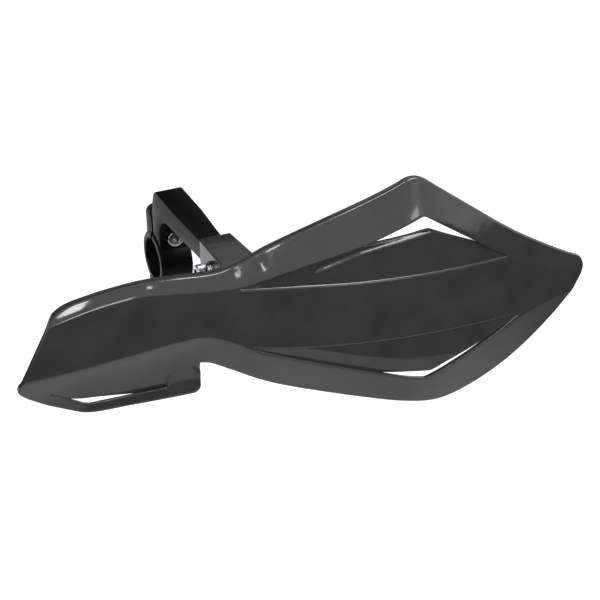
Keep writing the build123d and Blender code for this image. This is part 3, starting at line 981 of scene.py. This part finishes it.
def seen_or_lighting(tree, seen, lighting):
    """Strength of a glow: one value where the camera or a reflection sees it, and another where it
    lights."""
    path = node(tree, "ShaderNodeLightPath")
    rays = {0: path.outputs["Is Camera Ray"], 1: path.outputs["Is Glossy Ray"]}
    looks = node(tree, "ShaderNodeMath", rays, operation="MAXIMUM").outputs[0]
    strength = node(tree, "ShaderNodeMapRange", {"Value": looks, "To Min": lighting, "To Max": seen})
    return strength.outputs["Result"]


def white_paper():
    """White paper: it shows white to the camera and in reflections, with the object's soft shadow."""
    material, tree, shader = new_material("white_paper")
    shader.inputs["Base Color"].default_value = linear("#ececec")
    shader.inputs["Roughness"].default_value = 0.9
    shader.inputs["Emission Color"].default_value = (1, 1, 1, 1)
    glow = seen_or_lighting(tree, seen=0.45, lighting=0.0)
    tree.links.new(glow, shader.inputs["Emission Strength"])
    return material


def card(name, corners, light, dark, start=0.0, end=1.0):
    """Matt card that only gloss mirrors: the camera doesn't see it, and it keeps no light from the
    object. It fades from light to dark between two places along the bar, in metres."""
    material, tree, shader = new_material(name)
    where = node(tree, "ShaderNodeTexCoord").outputs["Object"]
    along = node(tree, "ShaderNodeSeparateXYZ", {"Vector": where}).outputs["X"]
    share = node(tree, "ShaderNodeMapRange", {"Value": along, "From Min": start, "From Max": end})
    tone = mixed_colour(tree, share.outputs["Result"], light, dark)
    tree.links.new(tone, shader.inputs["Base Color"])
    shader.inputs["Roughness"].default_value = 1.0
    sheet = stage_sheet(name, corners, material)
    sheet.visible_camera = False
    sheet.visible_diffuse = False
    sheet.visible_shadow = False


floor_height = -0.12
under_height = floor_height + 0.001
front_height = floor_height + 0.002
low_height = 0.12
high_height = 0.3
card_black = ("#141414", "#141414")
card_grey = ("#cccccc", "#cccccc")
card_edge = [
    (0.36, 0.3), (0.34, 0.0), (0.3, -0.09), (0.25, -0.135), (0.19, -0.165), (0.1, -0.195), (0.05, -0.21),
    (-1.4, -0.235),
]
stage_sheet("floor", rectangle(-3, 3, -3, 3, floor_height), white_paper())
card("front_card", level([(-1.4, -2.9), (2.9, -2.9), (2.9, 0.3), *card_edge], front_height), *card_black)
# Painted shade: a grey card under the object, darker towards +X, stands in reflections for the floor in the
# object's shadow.
card("painted_floor_shadow_card", rectangle(-0.3, 0.36, -0.25, 0.02, under_height), "#d2d2d2", "#5e5e5e", 0.05, 0.26)
card("left_card", rectangle(-2.9, -0.3, -0.25, 1.0, under_height), *card_black)
card("rear_card", rectangle(-0.3, 0.6, 0.056, 0.8, low_height), *card_black)
card("middle_card", rectangle(-0.3, 0.6, 0.0, 0.056, low_height), *card_grey)
card("rear_left_card", rectangle(-0.7, 0.13, -0.05, 0.7, high_height), *card_black)
right_corners = [(0.9, -1.0, floor_height), (0.9, 0.5, floor_height), (0.9, 0.5, 0.03), (0.9, -1.0, 0.03)]
card("right_card", right_corners, *card_black)


def add_lamp(name, lit, direction, distance, sizes, radiance):
    """Lamp that looks from a direction at a point of the object, given in millimetres. Its distance and
    sizes are in metres, and its power is pi times radiance and area."""
    data = bpy.data.lights.new(name, "AREA")
    data.shape = "RECTANGLE"
    data.size, data.size_y = sizes
    data.energy = np.pi * radiance * sizes[0] * sizes[1]
    lamp = bpy.data.objects.new(name, data)
    way = Vector(direction).normalized()
    lamp.location = Vector(lit) * MM + way * distance
    lamp.rotation_mode = "QUATERNION"
    lamp.rotation_quaternion = way.to_track_quat("Z", "Y")
    bpy.context.scene.collection.objects.link(lamp)


add_lamp("overhead_strip", (60, -103, 23), (0.62, -0.27, 0.735), 1.0, (0.5, 0.25), 10.0)
add_lamp("left_softbox", (-76, -94, 37), (-0.405, -0.41, 0.816), 0.8, (0.1, 0.1), 18.0)
add_lamp("left_front_softbox", (-75, -95, 34), (-0.2, -0.955, 0.2), 0.8, (0.3, 0.22), 9.0)
add_lamp("front_spot", (-42, -98, 41), (0.175, -0.63, 0.757), 1.0, (0.035, 0.07), 20.0)
add_lamp("front_strip", (50, -101, 35), (0.295, -0.425, 0.855), 0.95, (0.18, 0.12), 20.0)
add_lamp("right_spot", (94, -100, 52), (0.62, -0.72, 0.29), 1.0, (0.16, 0.15), 5.0)
add_lamp("right_softbox", (94, -100, 52), (0.63, -0.71, 0.31), 1.0, (0.32, 0.26), 0.4)


def studio_world():
    """White surround: full strength to the camera and in reflections, and less as light on the object."""
    world = bpy.data.worlds.new("studio")
    world.use_nodes = True
    tree = world.node_tree
    strength = seen_or_lighting(tree, seen=1.0, lighting=0.64)
    tree.links.new(strength, tree.nodes["Background"].inputs["Strength"])
    tree.nodes["Background"].inputs["Color"].default_value = (1, 1, 1, 1)
    bpy.context.scene.world = world


studio_world()
bpy.context.scene.view_settings.view_transform = "Standard"

camera_data = bpy.data.cameras.new("camera")
camera_data.sensor_width = sensor_width
camera_data.lens = focal_pixels / image_pixels * sensor_width
camera = bpy.data.objects.new("camera", camera_data)
azimuth, elevation = np.radians([camera_azimuth, camera_elevation])
run = np.cos(elevation)
backward = Vector((np.sin(azimuth) * run, -np.cos(azimuth) * run, np.sin(elevation)))
camera.location = (Vector(camera_target) + backward * camera_distance) * MM
camera.rotation_mode = "QUATERNION"
camera.rotation_quaternion = (-backward).to_track_quat("-Z", "Y")
bpy.context.scene.collection.objects.link(camera)
bpy.context.scene.camera = camera
